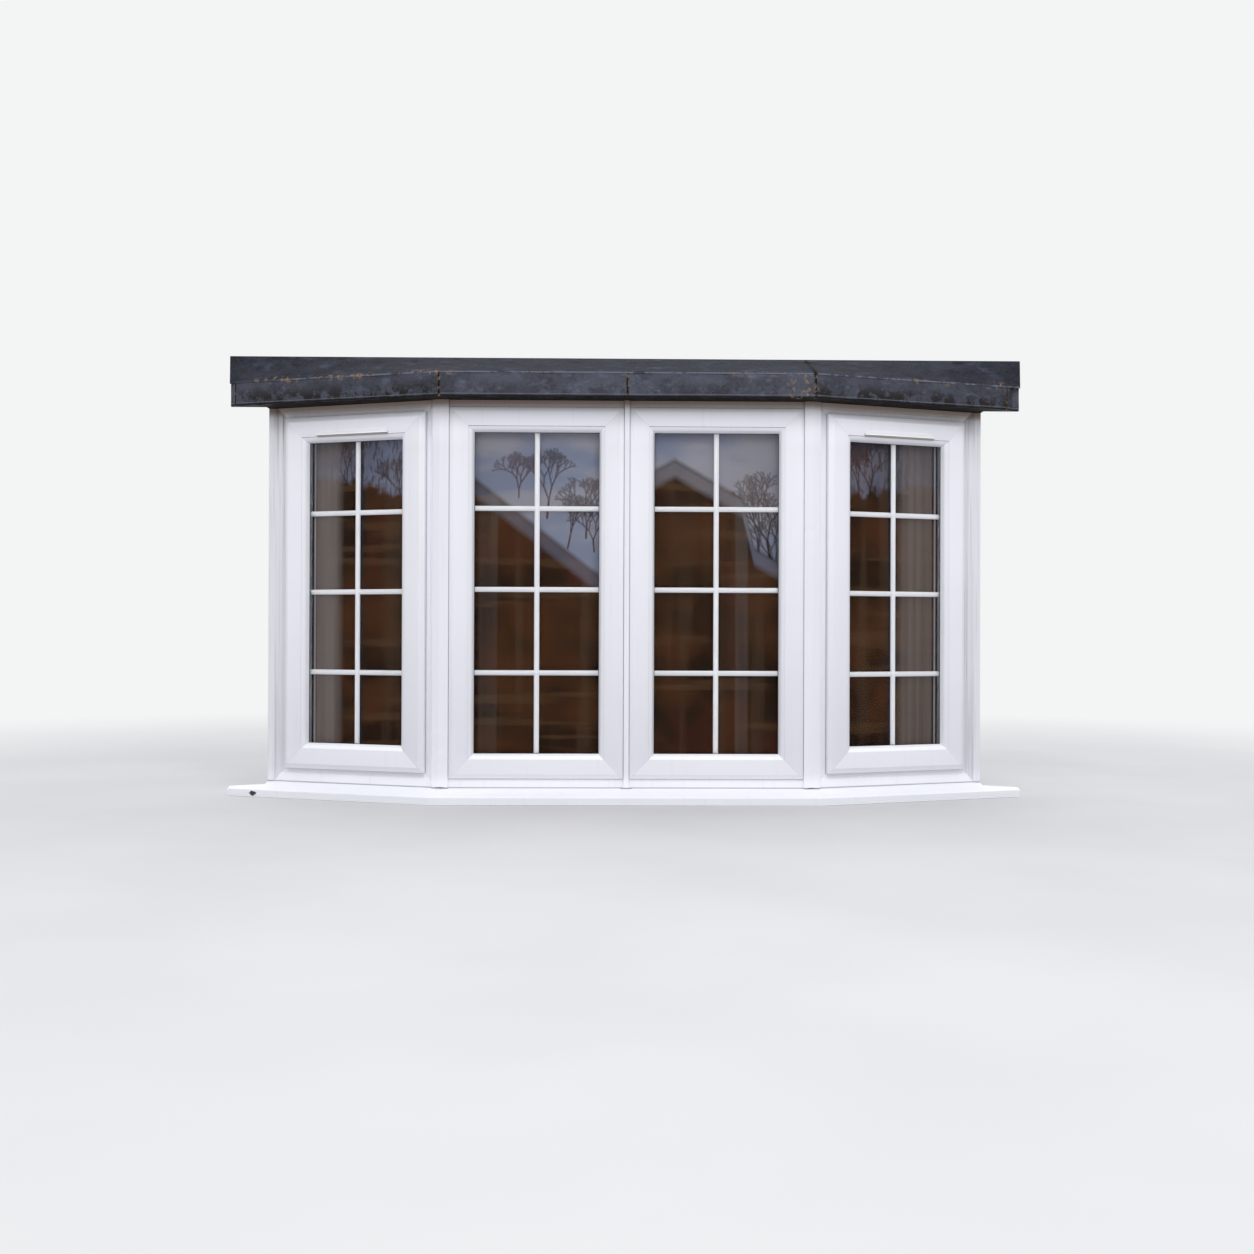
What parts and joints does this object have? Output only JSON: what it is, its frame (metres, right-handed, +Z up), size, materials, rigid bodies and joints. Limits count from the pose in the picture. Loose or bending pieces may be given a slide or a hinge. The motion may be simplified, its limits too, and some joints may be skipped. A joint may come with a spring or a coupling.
{
  "type": "bay window",
  "caption": "Shallow angled bay window with white frames, casements at the sides, fixed lights between, a projecting sill and a low lead-clad canopy.",
  "frame": {"origin": "on the underside of the base board, midway between the two reveals, in the plane of the outer frame faces at the jambs", "axes": "+X to the right seen from outside, +Y into the room, +Z up"},
  "size_m": [2.424, 0.352, 1.3395],
  "materials": {
    "white_profile": "satin white vinyl",
    "white_cover": "satin white vinyl",
    "white_sill": "satin white vinyl",
    "glass": "clear, faintly grey",
    "spacer": "mill finish",
    "gasket": "matt black",
    "handle": "satin white",
    "lead": "weathered blue-grey",
    "fascia": "weathered blue-grey with dark patches",
    "soffit": "dark painted",
    "timber": "bare softwood and ply",
    "base": "matt white board"
  },
  "bodies": {
    "root": {"base_board": "base", "bay_post_left": "white_profile", "bay_post_right": "white_profile", "canopy_deck": "timber", "canopy_lead_left": "lead", "canopy_lead_right": "lead", "canopy_return_left": "fascia", "canopy_return_right": "fascia", "coupler": "white_profile", "coupler_cover": "white_cover", "fascia_centre_left": "fascia", "fascia_centre_right": "fascia", "fascia_left": "fascia", "fascia_right": "fascia", "frame_centre_left": "white_profile", "frame_centre_right": "white_profile", "frame_left": "white_profile", "frame_right": "white_profile", "glass_centre_left": "glass", "glass_centre_right": "glass", "glass_left": "glass", "glass_right": "glass", "glazing_gaskets": "gasket", "handle_left": "handle", "handle_right": "handle", "head_board": "timber", "inside_beads": "white_profile", "jamb_piece_left": "white_profile", "jamb_piece_right": "white_profile", "post_cover_left": "white_cover", "post_cover_right": "white_cover", "sash_centre_left": "white_profile", "sash_centre_right": "white_profile", "sash_left": "white_profile", "sash_right": "white_profile", "sill_centre": "white_sill", "sill_end_cap_left": "white_sill", "sill_end_cap_right": "white_sill", "sill_left": "white_sill", "sill_right": "white_sill", "soffit_board": "soffit", "unit_spacers": "spacer", "vent_hood_left": "white_profile", "vent_hood_right": "white_profile"}
  },
  "joints": []
}
